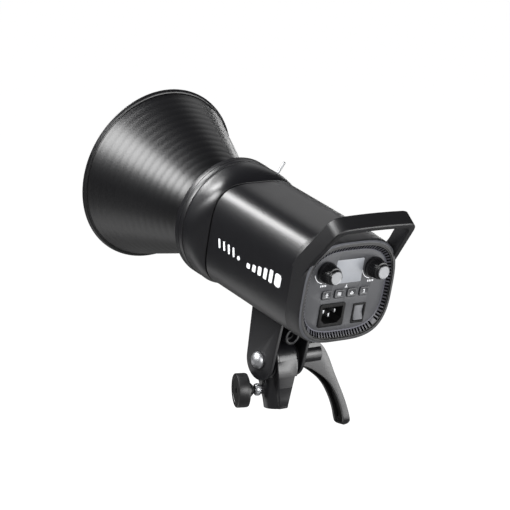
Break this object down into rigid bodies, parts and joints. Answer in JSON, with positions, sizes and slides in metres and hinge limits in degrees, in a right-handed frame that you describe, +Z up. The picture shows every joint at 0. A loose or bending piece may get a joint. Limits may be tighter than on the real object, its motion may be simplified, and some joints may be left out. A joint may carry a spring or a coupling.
{
  "type": "LED monolight studio lamp",
  "caption": "Studio lamp head with a ridged bell reflector, rear control panel, carry handle and tilting yoke that clamps on a stand pin.",
  "frame": {"origin": "centre of the stand socket's mouth, on the adapter's bottom face", "axes": "+Z up out of the stand, the lamp faces -Y and is nosed up 15 degrees, +X is the clamp wheel's side"},
  "size_m": [0.1884, 0.3896, 0.337],
  "materials": {
    "housing_black": "satin black powder coat",
    "cap_black": "fine-grained satin black plastic",
    "groove_black": "dull black",
    "panel_grey": "matt dark grey",
    "display_grey": "switched-off grey display",
    "knob_black": "ribbed black plastic",
    "knob_silver": "turned satin silver",
    "button_grey": "soft-touch dark grey",
    "socket_black": "matt black",
    "bright_metal": "bright plated",
    "steel": "plain steel",
    "reflector_black": "satin black outside, silver inside",
    "yoke_black": "fine-textured black powder coat",
    "adapter_black": "cast metal, satin black",
    "lever_black": "cast metal, satin black",
    "wheel_black": "hard rubbery black",
    "washer_fibre": "dark friction fibre",
    "heat_sink_metal": "plain extruded aluminium",
    "circuit_board": "green solder mask",
    "emitter_yellow": "phosphor",
    "clear_glass": "clear dome",
    "copper_part": "wound parts under black tape"
  },
  "bodies": {
    "stand": {"stand_adapter": "adapter_black", "friction_washers": "washer_fibre"},
    "clamp_shank": {"clamp_screw": "bright_metal"},
    "clamp_wheel": {"clamp_knob": "wheel_black"},
    "lever": {"lock_lever": "lever_black"},
    "release": {"release_pin": "bright_metal", "release_bolt": "steel"},
    "reflector": {"reflector_bell": "reflector_black", "reflector_flange": "reflector_black", "reflector_rivets": "bright_metal"},
    "rocker_switch": {"power_rocker": "panel_grey"},
    "fan": {"fan_rotor": "socket_black"},
    "umbrella_shank": {"umbrella_screw": "steel"},
    "umbrella_head": {"umbrella_knob": "steel"},
    "encoder_left": {"encoder_shaft_left": "steel"},
    "dial_left": {"knob_left": "knob_black", "knob_cap_left": "knob_silver"},
    "encoder_right": {"encoder_shaft_right": "steel"},
    "dial_right": {"knob_right": "knob_black", "knob_cap_right": "knob_silver"},
    "key_1": {"button_1": "button_grey"},
    "key_2": {"button_2": "button_grey"},
    "key_3": {"button_3": "button_grey"},
    "key_4": {"button_4": "button_grey"},
    "head": {"main_shell": "housing_black", "front_collar": "housing_black", "front_ring": "housing_black", "rear_cap": "cap_black", "vent_grille": "cap_black", "carry_handle": "cap_black", "groove_band": "groove_black", "bayonet_ring": "steel", "front_plate": "housing_black", "control_panel": "panel_grey", "handle_screws": "steel", "display_window": "display_grey", "display_module": "circuit_board", "button_board": "circuit_board", "inlet_housing": "socket_black", "inlet_pins": "bright_metal", "rocker_frame": "socket_black", "control_board": "circuit_board", "power_board": "circuit_board", "power_parts": "copper_part", "fan_frame": "socket_black", "heat_sink": "heat_sink_metal", "lamp_base": "heat_sink_metal", "led_carrier": "heat_sink_metal", "led_emitter": "emitter_yellow", "led_clamp": "socket_black", "lamp_window": "clear_glass", "window_ring": "steel", "yoke_plate_left": "yoke_black", "yoke_plate_right": "yoke_black", "yoke_base": "yoke_black", "yoke_screws": "steel", "umbrella_tube": "yoke_black", "pivot_bolt": "bright_metal", "encoder_body_left": "steel", "encoder_body_right": "steel"}
  },
  "joints": [
    {"name": "head_tilt", "type": "hinge", "parent": "stand", "child": "head", "pos_m": [0, 0, 0.05], "axis": [1, 0, 0], "range_deg": [-70, 95]},
    {"name": "lever_turn", "type": "hinge", "parent": "head", "child": "lever", "pos_m": [-0.04, 0, 0.05], "axis": [-1, 0, 0], "range_deg": [0, 110]},
    {"name": "clamp_travel", "type": "slide", "parent": "stand", "child": "clamp_shank", "axis": [0.9205, -0.3907, 0], "range_m": [0, 0.004]},
    {"name": "clamp_turn", "type": "hinge", "parent": "clamp_shank", "child": "clamp_wheel", "pos_m": [0.03222, -0.01368, 0.0185], "axis": [0.9205, -0.3907, 0], "range_deg": [0, 1441]},
    {"name": "umbrella_travel", "type": "slide", "parent": "head", "child": "umbrella_shank", "axis": [0, 0.2588, 0.9659], "range_m": [0, 0.0028]},
    {"name": "umbrella_turn", "type": "hinge", "parent": "umbrella_shank", "child": "umbrella_head", "pos_m": [0.003, 0.02298, 0.0894], "axis": [0, 0.2588, 0.9659], "range_deg": [0, 1441]},
    {"name": "release_slide", "type": "slide", "parent": "head", "child": "release", "axis": [0, 0.9659, -0.2588], "range_m": [0, 0.005], "stiffness_N_per_m": 400, "springref_m": -0.004},
    {"name": "reflector_twist", "type": "hinge", "parent": "head", "child": "reflector", "pos_m": [0, -0.0798, 0.18299], "axis": [0, 0.9659, -0.2588], "range_deg": [0, 40]},
    {"name": "rocker_tip", "type": "hinge", "parent": "head", "child": "rocker_switch", "pos_m": [-0.021, 0.09855, 0.10869], "axis": [1, 0, 0], "range_deg": [-14, 0]},
    {"name": "fan_spin", "type": "hinge", "parent": "head", "child": "fan", "pos_m": [0, 0.03715, 0.15579], "axis": [0, -0.9659, 0.2588], "continuous": true},
    {"name": "encoder_left_push", "type": "slide", "parent": "head", "child": "encoder_left", "axis": [0, -0.9659, 0.2588], "range_m": [0, 0.0008], "stiffness_N_per_m": 2500, "springref_m": -0.0004},
    {"name": "dial_left_turn", "type": "hinge", "parent": "encoder_left", "child": "dial_left", "pos_m": [0.029, 0.11921, 0.15296], "axis": [0, 0.9659, -0.2588], "continuous": true},
    {"name": "encoder_right_push", "type": "slide", "parent": "head", "child": "encoder_right", "axis": [0, -0.9659, 0.2588], "range_m": [0, 0.0008], "stiffness_N_per_m": 2500, "springref_m": -0.0004},
    {"name": "dial_right_turn", "type": "hinge", "parent": "encoder_right", "child": "dial_right", "pos_m": [-0.029, 0.11921, 0.15296], "axis": [0, 0.9659, -0.2588], "continuous": true},
    {"name": "key_1_press", "type": "slide", "parent": "head", "child": "key_1", "axis": [0, -0.9659, 0.2588], "range_m": [0, 0.001], "stiffness_N_per_m": 1200, "springref_m": -0.0006},
    {"name": "key_2_press", "type": "slide", "parent": "head", "child": "key_2", "axis": [0, -0.9659, 0.2588], "range_m": [0, 0.001], "stiffness_N_per_m": 1200, "springref_m": -0.0006},
    {"name": "key_3_press", "type": "slide", "parent": "head", "child": "key_3", "axis": [0, -0.9659, 0.2588], "range_m": [0, 0.001], "stiffness_N_per_m": 1200, "springref_m": -0.0006},
    {"name": "key_4_press", "type": "slide", "parent": "head", "child": "key_4", "axis": [0, -0.9659, 0.2588], "range_m": [0, 0.001], "stiffness_N_per_m": 1200, "springref_m": -0.0006}
  ],
  "couplings": [
    {"joint": "clamp_turn", "follows": "clamp_travel", "rad_per_m": 6283.2},
    {"joint": "umbrella_turn", "follows": "umbrella_travel", "rad_per_m": 8976}
  ]
}
